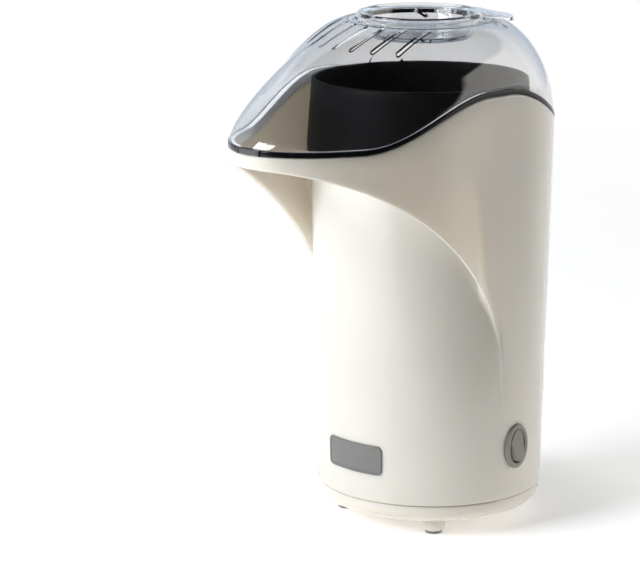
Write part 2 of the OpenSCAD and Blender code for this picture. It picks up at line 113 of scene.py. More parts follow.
DOME_TOP_R = 41.0
DOME_TOP_Z = 287.6
SEAT_TOP_Z = DOME_TOP_Z + 1.8
SLOT_W = 2.6  # width of the vents


def smooth(u):
    """Smooth step from 0 to 1 as u goes from 0 to 1."""
    u = min(1.0, max(0.0, u))
    return u * u * (3 - 2 * u)


def mix(p, q, u):
    """From p to q as u goes from 0 to 1."""
    return p + (q - p) * u


def body_r(z):
    """Radius of the round body at a height."""
    return R_LOW + (R_HIGH - R_LOW) * (z - TAPER_LOW) / (TAPER_HIGH - TAPER_LOW)


def rim_z(t):
    """Height of the body's rim at a distance t forward of the body axis."""
    if t > RIM_TOP_T:
        return RIM_PEAK - (RIM_PEAK - RIM_SPOUT) * smooth((t - RIM_FALL_T) / RIM_FALL_LEN)
    return RIM_PEAK - (RIM_PEAK - RIM_BACK) * smooth((RIM_TOP_T - t) / (RIM_TOP_T + R_HIGH))


def crease_z(t):
    """Height of the arched lower edge of the spout at a distance t forward."""
    s = min(1.0, max(0.0, REACH - t) / CREASE_LEN)
    return LIP_Z - CREASE_LEN + CREASE_LEN * math.sqrt(max(0.0, 1 - s ** 1.4))


def reach_at(z):
    """Forward reach of the spout: its tip leans in a little towards the lower lip."""
    return REACH - TIP_LEAN * max(0.0, RIM_SPOUT - z)


def plan_r(b, d, z):
    """Distance from the body axis to the plan of the body, inset by d, in direction b (radians)."""
    if math.sin(b) >= 0:
        return body_r(z) - d
    return 1 / math.hypot(math.cos(b) / (body_r(z) - d), math.sin(b) / (reach_at(z) - d))


def skin_r(b, z):
    """The outside of the body, where the spout fades into the round part below its arched edge."""
    return body_r(z) + (plan_r(b, 0, z) - body_r(z)) * smooth((z - SPOUT_FADE_Z) / SPOUT_FADE_LEN)


def reach_from_dome(b, d, r):
    """Distance from the dome axis to the plan outline inset by d, in direction b (radians)."""
    c, s, o = math.cos(b), math.sin(b), -AXIS_FWD

    def root(p, q):
        aa = c * c / p / p + s * s / q / q
        bb = o * s / q / q
        cc = o * o / q / q - 1
        return (-bb + math.sqrt(bb * bb - aa * cc)) / aa

    rear = root(r - d, r - d)
    return rear if o + rear * s > 0 else root(r - d, REACH - d)


# ---- mesh helpers


def grid_faces(rows, cols, closed_rows, closed_cols, base=0):
    """Quads over a grid of points numbered row by row from base."""
    faces = []
    for i in range(rows if closed_rows else rows - 1):
        for j in range(cols if closed_cols else cols - 1):
            i2, j2 = (i + 1) % rows, (j + 1) % cols
            row, row2 = base + i * cols, base + i2 * cols
            faces.append((row + j, row + j2, row2 + j2, row2 + j))
    return faces


def join_rings(rings, closed=False, caps=False):
    """Points and faces of rings joined one to the next, with flat caps on the first and last if asked."""
    n = len(rings[0])
    verts = [v for ring in rings for v in ring]
    faces = grid_faces(len(rings), n, closed, True)
    if caps:
        faces += [tuple(range(n))[::-1], tuple(range(len(verts) - n, len(verts)))]
    return verts, faces


def make_mesh(name, verts, faces, sharp=38, weld=0.0005):
    """A new smooth-shaded object from points in millimetres, with edges above sharp degrees kept crisp."""
    mesh = bpy.data.meshes.new(name)
    mesh.from_pydata([[c * MM for c in v] for v in verts], [], faces)
    bm = bmesh.new()
    bm.from_mesh(mesh)
    bmesh.ops.remove_doubles(bm, verts=bm.verts, dist=weld * MM)
    bmesh.ops.dissolve_degenerate(bm, edges=bm.edges, dist=weld * MM * 0.5)
    bmesh.ops.recalc_face_normals(bm, faces=bm.faces)
    bm.to_mesh(mesh)
    bm.free()
    obj = bpy.data.objects.new(name, mesh)
    bpy.context.scene.collection.objects.link(obj)
    shade(obj, sharp)
    return obj


def shade(obj, sharp):
    """Smooth shading, with edges above sharp degrees kept crisp."""
    mesh = obj.data
    mesh.polygons.foreach_set("use_smooth", [True] * len(mesh.polygons))
    mesh.set_sharp_from_angle(angle=math.radians(sharp))
    mesh.update()


def spin_profile(profile, angles, centre=(0.0, 0.0)):
    """Points and faces of a closed profile of (radius, height) turned round a vertical axis."""
    cx, cy = centre
    verts = [(cx + r * math.cos(a), cy + r * math.sin(a), z) for a in angles for r, z in profile]
    return verts, grid_faces(len(angles), len(profile), True, True)


def turn(count):
    """Evenly spaced angles of a full turn."""
    return [2 * math.pi * i / count for i in range(count)]


def rounded(points, radii):
    """A closed outline of (x, y) corners with each corner rounded by its own radius."""
    out = []
    n = len(points)
    for i in range(n):
        p = Vector(points[i]).to_2d()
        a = Vector(points[i - 1]).to_2d() - p
        b = Vector(points[(i + 1) % n]).to_2d() - p
        r = radii[i] if isinstance(radii, (list, tuple)) else radii
        half = a.angle(b) / 2
        cut = min(r / math.tan(half), 0.49 * a.length, 0.49 * b.length) if r > 0 else 0
        if cut < 1e-6 or half > math.radians(88):
            out.append((p.x, p.y))
            continue
        start, end = p + a.normalized() * cut, p + b.normalized() * cut
        for k in range(6):
            u = k / 5
            q = (1 - u) ** 2 * start + 2 * u * (1 - u) * p + u * u * end
            out.append((q.x, q.y))
    return out


def cut(obj, cutters, sharp=38):
    """Subtracts closed meshes from obj and removes them."""
    for cutter in cutters:
        modifier = obj.modifiers.new("cut", "BOOLEAN")
        modifier.operation = "DIFFERENCE"
        modifier.solver = "EXACT"
        modifier.object = cutter
    bpy.context.view_layer.update()
    depsgraph = bpy.context.evaluated_depsgraph_get()
    mesh = bpy.data.meshes.new_from_object(obj.evaluated_get(depsgraph))
    obj.modifiers.clear()
    old = obj.data
    obj.data = mesh
    bpy.data.meshes.remove(old)
    for cutter in cutters:
        data = cutter.data
        bpy.data.objects.remove(cutter)
        bpy.data.meshes.remove(data)
    shade(obj, sharp)


def prism(name, outline, z0, z1, place=None):
    """A closed prism over an outline of (x, y), from z0 to z1, each point moved by place if given."""
    verts, faces = join_rings([[(x, y, z) for x, y in outline] for z in (z0, z1)], caps=True)
    if place:
        verts = [place(*v) for v in verts]
    return make_mesh(name, verts, faces)


def oval(half_x, half_y, count=48):
    """Outline of an ellipse."""
    return [(half_x * math.cos(a), half_y * math.sin(a)) for a in turn(count)]


def place_piece(obj, body, material, replaced=()):
    """Puts an object on a body, with its material or materials, in place of CAD nodes."""
    obj.data.materials.clear()
    for m in material if isinstance(material, (list, tuple)) else [material]:
        obj.data.materials.append(m)
    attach(obj, body)
    if replaced:
        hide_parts(*replaced)
    return obj


# ---- materials


def new_node(tree, kind, inputs=None, **settings):
    """A shader node of a kind, with the values of its inputs and its settings."""
    node = tree.nodes.new("ShaderNode" + kind)
    for key, value in settings.items():
        setattr(node, key, value)
    for key, value in (inputs or {}).items():
        node.inputs[key].default_value = value
    return node


def ramp(tree, value, low, high, out_low=0, out_high=1):
    """From out_low to out_high as value goes from low to high, eased at both ends."""
    inputs = {"From Min": low, "From Max": high, "To Min": out_low, "To Max": out_high}
    node = new_node(tree, "MapRange", inputs, interpolation_type="SMOOTHSTEP")
    tree.links.new(value, node.inputs["Value"])
    return node.outputs[0]


def share_along(tree, coords, axis, start, end):
    """Runs from 0 to 1 as the component of coords along axis goes from start to end."""
    dot = new_node(tree, "VectorMath", {1: axis}, operation="DOT_PRODUCT")
    tree.links.new(coords, dot.inputs[0])
    return ramp(tree, dot.outputs["Value"], start, end)


def combine(tree, operation, a, b):
    """One number from two."""
    node = new_node(tree, "Math", operation=operation)
    tree.links.new(a, node.inputs[0])
    tree.links.new(b, node.inputs[1])
    return node.outputs[0]


def blend(tree, a, b, factor):
    """One colour from two, each of them a colour or the output of a node."""
    node = new_node(tree, "Mix", data_type="RGBA")
    for key, colour in (("A", a), ("B", b)):
        if isinstance(colour, tuple):
            node.inputs[key].default_value = (*colour, 1)
        else:
            tree.links.new(colour, node.inputs[key])
    tree.links.new(factor, node.inputs["Factor"])
    return node.outputs["Result"]


class Shader:
    """One Principled material whose colour, roughness and relief come from procedural noise."""

    def __init__(self, name, colour, rough, **sockets):
        self.mat = bpy.data.materials.new(name)
        self.mat.use_nodes = True
        self.tree = self.mat.node_tree
        self.tree.nodes.clear()
        inputs = {"Base Color": (*colour, 1), "Roughness": rough}
        inputs.update((key.replace("_", " "), value) for key, value in sockets.items())
        self.bsdf = new_node(self.tree, "BsdfPrincipled", inputs)
        self.link(self.bsdf.outputs[0], new_node(self.tree, "OutputMaterial").inputs["Surface"])
        self.coords = new_node(self.tree, "TexCoord").outputs["Object"]
        self.colour = colour
        self.tone = self.height = None

    def link(self, a, b):
        self.tree.links.new(a, b)

    def noise(self, size_mm, detail=3.0, stretch=(1, 1, 1)):
        """Noise with features about size_mm across."""
        mapping = new_node(self.tree, "Mapping", {"Scale": tuple(s / (size_mm * MM) for s in stretch)})
        self.link(self.coords, mapping.inputs["Vector"])
        tex = new_node(self.tree, "TexNoise", {"Scale": 1.0, "Detail": detail, "Roughness": 0.55})
        self.link(mapping.outputs[0], tex.inputs["Vector"])
        return tex.outputs["Fac"]

    def vary_colour(self, value, dark, light):
        """Colour runs between two shares of the base colour as value goes from 0.3 to 0.7."""
        low, high = (tuple(min(1.0, c * share) for c in self.colour) for share in (dark, light))
        self.tone = blend(self.tree, low, high, ramp(self.tree, value, 0.3, 0.7))
        self.link(self.tone, self.bsdf.inputs["Base Color"])

    def vary_rough(self, value, low, high):
        """Roughness runs from low to high as value goes from 0.3 to 0.7."""
        self.link(ramp(self.tree, value, 0.3, 0.7, low, high), self.bsdf.inputs["Roughness"])

    def bump(self, value, depth_mm, strength=1.0):
        """Relief, laid over any relief that is there already."""
        node = new_node(self.tree, "Bump", {"Distance": depth_mm * MM, "Strength": strength})
        self.link(value, node.inputs["Height"])
        if self.height is not None:
            self.link(self.height, node.inputs["Normal"])
        self.height = node.outputs[0]
        self.link(self.height, self.bsdf.inputs["Normal"])


def moulded(name, colour, rough, spread=0.06, grain_mm=0.9, grain_depth=0.004, tone=0.02, **sockets):
    """Moulded plastic: faint tone drift, fine orange-peel skin, uneven gloss."""
    s = Shader(name, colour, rough, **sockets)
    s.vary_colour(s.noise(38, 2), 1 - tone, 1 + tone)
    s.vary_rough(s.noise(9, 4), max(0.02, rough - spread), rough + spread)
    s.bump(s.noise(grain_mm, 3), grain_depth)
    return s.mat


def metal(name, colour, rough, stretch=(1, 1, 1), line_mm=0.6, depth=0.006, tone=0.08):
    """Bare metal: drawn or ground lines, patchy oxide tone."""
    s = Shader(name, colour, rough, Metallic=1.0)
    s.vary_colour(s.noise(7, 4), 1 - tone, 1 + tone)
    s.vary_rough(s.noise(line_mm * 3, 4, stretch), rough * 0.75, min(1.0, rough * 1.35))
    s.bump(s.noise(line_mm, 4, stretch), depth)
    return s.mat


def clear(name, colour, rough=0.02, ior=1.49, **sockets):
    """Clear moulded plastic: hairline scuffs and slow flow waves in its skin."""
    s = Shader(name, colour, rough, Transmission_Weight=1.0, IOR=ior, **sockets)
    s.vary_colour(s.noise(30, 2), 0.97, 1.0)
    s.vary_rough(s.noise(5, 5, (1, 1, 0.3)), 0.01, rough * 2)
    s.bump(s.noise(22, 2), 0.012, 0.4)
    return s.mat


M = {}
M["body"] = moulded("body_plastic", (0.75, 0.70, 0.62), 0.15, spread=0.02, grain_depth=0.0008, tone=0.006,
                    Coat_Weight=0.3, Coat_Roughness=0.05, Subsurface_Weight=0.8, Subsurface_Scale=0.0075,
                    Subsurface_Radius=(1.0, 0.9, 0.8))
M["black"] = moulded("black_satin", (0.002, 0.002, 0.0024), 0.48, spread=0.05, grain_depth=0.001,
                     Specular_IOR_Level=0.06)
M["switch"] = moulded("switch_plastic", (0.27, 0.248, 0.218), 0.42, grain_mm=0.6, grain_depth=0.01)
M["rocker"] = moulded("rocker_plastic", (0.25, 0.23, 0.20), 0.36, grain_mm=0.6, grain_depth=0.008)
M["badge"] = moulded("badge_plate", (0.165, 0.163, 0.155), 0.40, grain_mm=0.5, grain_depth=0.012)
M["rubber"] = moulded("foot_rubber", (0.20, 0.19, 0.18), 0.75, grain_mm=0.5, grain_depth=0.02)
M["cord"] = moulded("cord_rubber", (0.02, 0.02, 0.02), 0.6, grain_mm=0.5, grain_depth=0.02)
M["clear"] = clear("clear_plastic", (0.82, 0.825, 0.835), 0.02)
M["cup"] = clear("cup_plastic", (0.90, 0.905, 0.91), 0.02, ior=1.1, Coat_Weight=1.0, Coat_Roughness=0.02)
# Near-black bead: painted shade for the dark line where the clear cover's foot sits on the rim
M["band"] = moulded("bead_painted_shade", (0.004, 0.004, 0.005), 0.2, spread=0.04, grain_depth=0.001,
                    Specular_IOR_Level=0.3)
M["latch"] = moulded("latch_tab", (0.06, 0.06, 0.063), 0.16, spread=0.05, grain_depth=0.001)
# Pale opaque skirt: painted light, standing in for the light seen through the real clear skirt
M["skirt"] = moulded("cover_skirt_painted_light", (0.93, 0.94, 0.95), 0.15, spread=0.05, grain_depth=0.001)
M["steel"] = metal("screw_steel", (0.56, 0.56, 0.56), 0.34, (1, 1, 0.2), line_mm=0.3)
M["motor"] = metal("motor_steel", (0.50, 0.50, 0.51), 0.38, (0.3, 0.3, 1), line_mm=0.5)
M["shaft"] = metal("shaft_steel", (0.62, 0.62, 0.63), 0.16, (0.2, 0.2, 1), line_mm=0.2, depth=0.002)
M["brass"] = metal("brass_tab", (0.66, 0.48, 0.20), 0.32, (1, 0.2, 1))
M["bronze"] = metal("bush_bronze", (0.45, 0.29, 0.13), 0.45)
M["core"] = metal("armature_core", (0.36, 0.17, 0.08), 0.42, (0.2, 0.2, 3), line_mm=0.5, depth=0.05)
M["ferrite"] = moulded("magnet_ferrite", (0.06, 0.06, 0.062), 0.7, grain_depth=0.03)
M["nichrome"] = metal("coil_wire", (0.30, 0.27, 0.24), 0.5, line_mm=0.4, depth=0.02, tone=0.2)
M["aluminium"] = metal("chamber_aluminium", (0.66, 0.66, 0.67), 0.33, (0.15, 0.15, 2), line_mm=0.5)
M["stamped"] = metal("thermostat_metal", (0.62, 0.61, 0.60), 0.4)
M["duct"] = moulded("duct_plastic", (0.045, 0.043, 0.042), 0.55, grain_depth=0.02)
M["fan"] = moulded("fan_plastic", (0.62, 0.60, 0.56), 0.45, grain_depth=0.01)
M["cap"] = moulded("end_cap_plastic", (0.66, 0.63, 0.53), 0.5, grain_depth=0.01)
M["mica"] = moulded("mica_sheet", (0.46, 0.37, 0.22), 0.4, spread=0.15, grain_mm=3, grain_depth=0.05,
                    tone=0.22)
M["ceramic"] = moulded("fuse_ceramic", (0.76, 0.73, 0.66), 0.5, grain_depth=0.015)
M["board"] = moulded("board_green", (0.03, 0.14, 0.06), 0.4, grain_mm=0.6, grain_depth=0.01, tone=0.15)
M["epoxy"] = moulded("diode_black", (0.02, 0.02, 0.02), 0.5)
M["gasket"] = moulded("gasket_fibre", (0.48, 0.40, 0.27), 0.9, grain_mm=0.7, grain_depth=0.12, tone=0.18)

for cad_node, key in {
    "base_screws": "steel", "duct_screws": "steel", "motor_screws": "steel", "board_screws": "steel",
    "collar_screws": "steel", "switch_terminals": "brass", "fan_duct": "duct", "fan_impeller": "fan",
    "motor_shaft": "shaft", "motor_armature": "core", "motor_magnets": "ferrite", "motor_can": "motor",
    "motor_end_cap": "cap", "motor_bushes": "bronze", "heater_former": "mica", "heater_coil": "nichrome",
    "thermostat": "stamped", "thermal_fuse": "ceramic", "rectifier_board": "board",
    "rectifier_diodes": "epoxy", "popping_chamber": "aluminium", "chamber_gasket": "gasket",
}.items():
    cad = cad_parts[cad_node]
    if not cad.material_slots:
        cad.data.materials.append(M[key])
    for slot in cad.material_slots:
        slot.material = M[key]

# ---- body with its spout

FADE_T = 13  # the arched edge is soft behind this distance forward, and crisp FADE_LEN further on
FADE_LEN = 14
FADE_DROP = 12.0
SCOOP_T = 30.0  # the scoop under the edge opens into the chute over SCOOP_LEN in front of this
SCOOP_LEN = 12
BREAK_T = 47.0  # further forward than this, the spout stands free of the round part
EDGE = WALL / 2  # rounding of the spout's lower edge where it stands free
NOSE = 0.6  # and of the arched edge over the scoop
RIM_ROUND = 0.9
RIM_BREAK = 0.5
TUBE_TOP_ROUND = 0.8  # broken edge of the round part's top
SEAM_ROUND = 0.7  # rounding of its lower edge at the seam
TUBE_PART = 4  # points of under_edge that lie on the round part when the chute is open
CUT_FROM, CUT_TO = 50, 80  # a cutter through the wall reaches this far from the body's axis


def body_columns():
    """Directions of the rear and front columns, closest where the spout grows out of the round body."""
    side = [-d for d in np.arange(1, 10, 1.0)] + [-d for d in np.arange(10, 48, 0.6)]
    side += [-d for d in np.arange(48, 90, 1.0)]
    right = sorted(side)
    left = [-180 - b for b in right[::-1]]
    rear = list(np.arange(0, 180.1, 2.25))
    return [math.radians(b) for b in rear], [math.radians(b) for b in left + [-90.0] + right]


def column_facts(b):
    """Forward distance, arched edge, rim, overhang, chute share and fade of the spout in direction b."""
    t = -math.sin(b) * plan_r(b, 0, LIP_Z)
    edge = crease_z(t)
    overhang = skin_r(b, edge) - body_r(edge)
    opened = smooth((t - SCOOP_T) / SCOOP_LEN)
    fade = 1 - smooth((t - FADE_T) / FADE_LEN)
    return t, edge, rim_z(t), overhang, opened, fade


def scoop_foot(edge, gap, fade):
    """Height at which the round part ends and the scoop under the arched edge begins."""
    return min(edge, SLAB_Z) - mix(min(7.0, 1.2 * gap + 0.5), FADE_DROP, fade)


def cowl_foot(edge):
    """Height of the chute floor's underside at the inside of the spout, always above its arched edge."""
    return max(SLAB_Z, edge + 2.5)


def tube_outside(b):
    """Up the outside of the round part to just below the spout's arched edge."""
    _, edge, _, gap, _, fade = column_facts(b)
    r = body_r(SEAM_Z)
    low = [(r - SEAM_ROUND, SEAM_Z), (r - 0.2, SEAM_Z + 0.2), (r, SEAM_Z + SEAM_ROUND)]
    zs = np.linspace(SEAM_Z + SEAM_ROUND, scoop_foot(edge, gap, fade), 12)[1:-1]
    return low + [(body_r(z), z) for z in zs]


def under_edge(b):
    """From the round part to the foot of the spout's outside: a concave scoop, or the open chute."""
    _, edge, _, gap, opened, fade = column_facts(b)
    foot = scoop_foot(edge, gap, fade)
    nose = min(NOSE, 0.45 * gap)
    nose_z = nose + FADE_DROP * fade
    r0 = body_r(edge)
    scoop = []
    for k in range(7):
        a = math.pi / 2 * k / 6
        scoop.append((r0 + (gap - nose) * (1 - math.cos(a)), edge - (edge - foot) * (1 - math.sin(a))))
    for k in range(1, 8):
        a = math.pi / 2 * k / 7
        scoop.append((r0 + gap - nose + nose * math.sin(a), edge + nose_z * (1 - math.cos(a))))
    chute = [(body_r(z), z) for z in np.linspace(foot, SLAB_Z, TUBE_PART)]
    chute += [(plan_r(b, WALL, z), z) for z in np.linspace(cowl_foot(edge), edge + EDGE, 4)[:-1]]
    for k in range(7):
        a = math.pi * k / 6
        z = edge + EDGE - EDGE * math.sin(a)
        chute.append((plan_r(b, EDGE + EDGE * math.cos(a), z), z))
    return [(mix(p[0], q[0], opened), mix(p[1], q[1], opened)) for p, q in zip(scoop, chute)]


def spout_outside(b):
    """Up the outside above the arched edge, and over the rim."""
    rim = column_facts(b)[2]
    foot = under_edge(b)[-1][1]
    top = rim - RIM_ROUND
    pts = [(skin_r(b, z), z) for z in np.linspace(foot, top, 30)[1:]]
    for k in (1, 2, 3):
        a = math.pi / 2 * k / 3
        pts.append((plan_r(b, RIM_ROUND * (1 - math.cos(a)), rim), top + RIM_ROUND * math.sin(a)))
    pts.append((plan_r(b, WALL - RIM_BREAK, rim), rim))
    pts.append((plan_r(b, WALL, rim), rim - RIM_BREAK))
    return pts


def spout_inside(b):
    """Down the inside from the rim to the level of the chute."""
    _, edge, rim, _, _, _ = column_facts(b)
    foot = cowl_foot(edge) + CHUTE_Z - SLAB_Z
    return [(plan_r(b, WALL, z), z) for z in np.linspace(rim - RIM_BREAK, foot, 16)[1:]]


def tube_top(r_in):
    """Across the top of the round part, from outside to inside."""
    k = TUBE_TOP_ROUND
    return [(body_r(CHUTE_Z) - k, CHUTE_Z), (r_in + k, CHUTE_Z), (r_in, CHUTE_Z - k)]


def tube_inside():
    """Down the inside of the round part."""
    zs = np.linspace(CHUTE_Z - TUBE_TOP_ROUND, SEAM_Z + 0.5, 9)[1:]
    return [(body_r(z) - WALL, z) for z in zs] + [(body_r(SEAM_Z) - WALL + 0.5, SEAM_Z)]


def to_xyz(b, section):
    """A column section of (radius, height) in direction b, in the CAD frame."""
    return [(r * math.cos(b), r * math.sin(b), z) for r, z in section]


def build_body():
    """The shell: a round tube, and the spout that grows out of it and stands free of it at the front."""
    rear, front = body_columns()
    ahead = {b: column_facts(b)[0] for b in front}
    last_left = max(b for b in front if b < -math.pi / 2 and ahead[b] < BREAK_T)
    first_right = min(b for b in front if b > -math.pi / 2 and ahead[b] < BREAK_T)
    merged = [b for b in front if b >= first_right] + rear + [b for b in front if b <= last_left]
    opened = [b for b in front if last_left <= b <= first_right]
    r_in = body_r(CHUTE_Z) - WALL
    tube_edge = (body_r(CHUTE_Z), CHUTE_Z - TUBE_TOP_ROUND)
    verts, faces = [], []

    def add(columns, section):
        rows = [to_xyz(b, section(b)) for b in columns]
        faces.extend(grid_faces(len(rows), len(rows[0]), False, True, len(verts)))
        for row in rows:
            verts.extend(row)

    # The right flank, round the back from +X to -X, and the left flank
    add(merged, lambda b: tube_outside(b) + under_edge(b) + spout_outside(b) + spout_inside(b)
        + tube_top(r_in) + tube_inside())
    # At the front the tube and the spout are separate, and a web closes each side of the gap
    add(opened, lambda b: tube_outside(b) + under_edge(b)[:TUBE_PART] + [tube_edge]
        + tube_top(r_in) + tube_inside())
    add(opened, lambda b: under_edge(b)[TUBE_PART:] + spout_outside(b) + spout_inside(b))
    for b in (last_left, first_right):
        ring = under_edge(b)
        web = [ring[TUBE_PART - 1], tube_edge, tube_top(r_in)[0], spout_inside(b)[-1], ring[TUBE_PART]]
        faces.append(tuple(range(len(verts), len(verts) + len(web))))
        verts.extend(to_xyz(b, web))
    return make_mesh("body", verts, faces, sharp=42, weld=0.002)


body = build_body()

SWITCH_Z = (housing_low[2] + housing_high[2]) / 2
SWITCH_HALF_W = (housing_high[1] - housing_low[1]) / 2
SWITCH_HALF_H = (housing_high[2] - housing_low[2]) / 2
CORD_Z = float(np.mean([inlet_low[2], inlet_high[2]]))


def on_side(x, y, z):
    """From the plane of the switch (x across, y up, z outwards) to the CAD frame."""
    return z, x, y + SWITCH_Z


def on_back(x, y, z):
    """From the plane of the cord's bush to the CAD frame."""
    return -x, z, y + CORD_Z


switch_hole = oval(SWITCH_HALF_W - 1.6, SWITCH_HALF_H - 1.6)
cut(body, [prism("switch_hole", switch_hole, CUT_FROM, CUT_TO, on_side),
           prism("cord_hole", oval(6.2, 6.2, 40), CUT_FROM, CUT_TO, on_back)], sharp=42)
place_piece(body, "machine", M["body"], ["body_shell"])

# ---- base, feet, cord grommet

BASE_Z = 9.2  # underside of the base
BASE_ROUND = 8.0
BASE_LIP = 4.0  # the base's lip stands this far up inside the body
GRILLE_HALF_W = 1.6
FOOT_R = 48.0  # distance of the feet from the middle
FOOT_DIRS = [math.radians(45 + 90 * k) for k in range(4)]


def build_base():
    """Round tray with a large rounded edge, a lip inside the body and a grille in its floor."""
    r = base_high[0]
    z0 = BASE_Z
    corner = [(r - BASE_ROUND * (1 - math.cos(a)), z0 + BASE_ROUND * (1 + math.sin(a)))
              for a in np.linspace(-math.pi / 2, 0, 13)]
    top = SEAM_Z - 0.5
    profile = [(0.02, z0)] + [(x, z0) for x in np.linspace(8, r - BASE_ROUND, 7)[:-1]] + corner
    profile += [(r, z) for z in np.linspace(z0 + BASE_ROUND, top - 0.7, 3)[1:]]
    lip = SEAM_Z + BASE_LIP
    profile += [(r - 0.2, top - 0.2), (r - 0.7, top), (r - WALL, top), (r - WALL, lip - 0.4),
                (r - WALL - 0.4, lip), (r - 2 * WALL + 0.6, lip), (r - 2 * WALL + 0.6, z0 + 5)]
    profile += [(r - 8, z0 + WALL), (0.02, z0 + WALL)]
    verts, faces = spin_profile(profile, turn(180))
    base = make_mesh("base", verts, faces, sharp=40, weld=0.05)
    slots = [(30 * i + 15, 17, 38) for i in range(12)] + [(60 * i, 5.5, 13) for i in range(6)]
    cut(base, [slot_cutter(math.radians(a), r0, r1, GRILLE_HALF_W, z0 - 2, z0 + 5) for a, r0, r1 in slots],
        sharp=40)
    return base


def slot_cutter(a, r0, r1, half, z0, z1):
    """Cutter for a slot with round ends, from r0 to r1 in direction a."""
    outline = [(r1 - half + half * math.cos(k), half * math.sin(k)) for k in np.linspace(-1.57, 1.57, 9)]
    outline += [(r0 + half + half * math.cos(k), half * math.sin(k)) for k in np.linspace(1.58, 4.71, 9)]
    turned = [(x * math.cos(a) - y * math.sin(a), x * math.sin(a) + y * math.cos(a)) for x, y in outline]
    return prism("slot", turned, z0, z1)


base = build_base()
place_piece(base, "machine", M["body"], ["base_tray"])


def at_each_foot(name, profile):
    """The same turned shape at each of the four feet."""
    verts, faces = [], []
    for a in FOOT_DIRS:
        v, f = spin_profile(profile, turn(40), (FOOT_R * math.cos(a), FOOT_R * math.sin(a)))
        faces += [tuple(i + len(verts) for i in q) for q in f]
        verts += v
    return make_mesh(name, verts, faces, weld=0.05)


def build_sockets():
    """The bulbous foot sockets that hang below the base."""
    return at_each_foot("foot_sockets", [
        (0.02, 1.5), (4.6, 1.5), (5.2, 1.6), (5.7, 2.0), (6.2, 2.8), (6.6, 3.9), (6.8, 5.1), (6.7, 6.3),
        (6.5, 7.4), (6.5, 8.4), (7.0, 9.0), (7.4, 9.5), (7.4, 10.2), (0.02, 10.2)])


def build_feet():
    """The rubber pads under the sockets."""
    return at_each_foot("feet", [
        (0.02, 0.0), (3.9, 0.0), (4.5, 0.12), (4.85, 0.45), (4.95, 0.9), (4.9, 1.4), (4.5, 1.5), (0.02, 1.5)])


place_piece(build_sockets(), "machine", M["body"])
place_piece(build_feet(), "machine", M["rubber"], ["rubber_feet"])


def build_grommet():
    """Bush with a flange on either side of the body's wall, round the hole for the cord."""
    y0, y1 = inlet_low[1], inlet_high[1]
    corners = [(3.6, y0), (7.6, y0), (7.6, y0 + 1.6), (5.9, y0 + 1.6), (5.9, y1 - 1.8), (8.0, y1 - 1.8),
               (8.0, y1 - 0.2), (5.2, y1), (3.6, y1)]
    profile = rounded(corners, [0.3, 0.4, 0.3, 0.1, 0.1, 0.2, 0.9, 0.6, 0.5])
    angles = turn(64)
    verts = [(r * math.cos(a), y, CORD_Z + r * math.sin(a)) for a in angles for r, y in profile]
    return make_mesh("cord_grommet", verts, grid_faces(len(angles), len(profile), True, True))


place_piece(build_grommet(), "machine", M["cord"], ["cord_inlet"])

# ---- badge

BADGE_CORNER = 3.0
BADGE_BACK = -0.3  # the plate's levels, out from the skin of the body
BADGE_FIELD = 0.55
BADGE_FRAME_W = 1.7


def build_badge():
    """A plain curved plate with rounded corners and a thin raised frame."""
    z0, z1 = badge_low[2], badge_high[2]
    half_w, half_h = (badge_high[0] - badge_low[0]) / 2, (z1 - z0) / 2
    mid = (z0 + z1) / 2

    def outline(inset):
        c = BADGE_CORNER - inset
        w, h = half_w - inset - c, half_h - inset - c
        pts = []
        for sx, sy, a0 in ((1, 1, 0), (-1, 1, 90), (-1, -1, 180), (1, -1, 270)):
            for k in range(7):
                a = math.radians(a0 + 15 * k)
                pts.append((sx * w + c * math.cos(a), sy * h + c * math.sin(a)))
            if sx == sy:
                pts += [(mix(sx * w, -sx * w, k / 24), sy * (h + c)) for k in range(1, 24)]
        return pts

    # Rings from the middle line of the back, round the raised frame, to the middle of the recessed field
    back = [[(x, y * s, BADGE_BACK) for x, y in outline(0)] for s in (0, 0.33, 0.67)]
    levels = [(0.0, BADGE_BACK), (0.0, BADGE_FIELD), (0.12, 0.8), (0.35, 0.9), (1.1, 0.9), (1.3, 0.85),
              (1.45, 0.62), (BADGE_FRAME_W, BADGE_FIELD)]
    frame_rows = [[(x, y, h) for x, y in outline(i)] for i, h in levels]
    field = [[(x, y * s, BADGE_FIELD) for x, y in outline(BADGE_FRAME_W)] for s in (0.8, 0.6, 0.4, 0.2, 0)]
    verts, faces = join_rings(back + frame_rows + field)

    def wrap(x, y, h):
        """Laid round the body, h out from its skin."""
        z = mid + y
        r = body_r(z) + h
        a = -math.pi / 2 + x / body_r(mid)
        return r * math.cos(a), r * math.sin(a), z

    return make_mesh("badge", [wrap(*v) for v in verts], faces, sharp=40, weld=0.005)


place_piece(build_badge(), "machine", M["badge"], ["front_badge"])

# ---- switch

WELL_INSET = 2.9  # from the outline of the bezel to its well
BEZEL_FOOT_X = 49.8  # where the bezel and the floor of its well end inside the body
WELL_FLOOR_X = 51.4


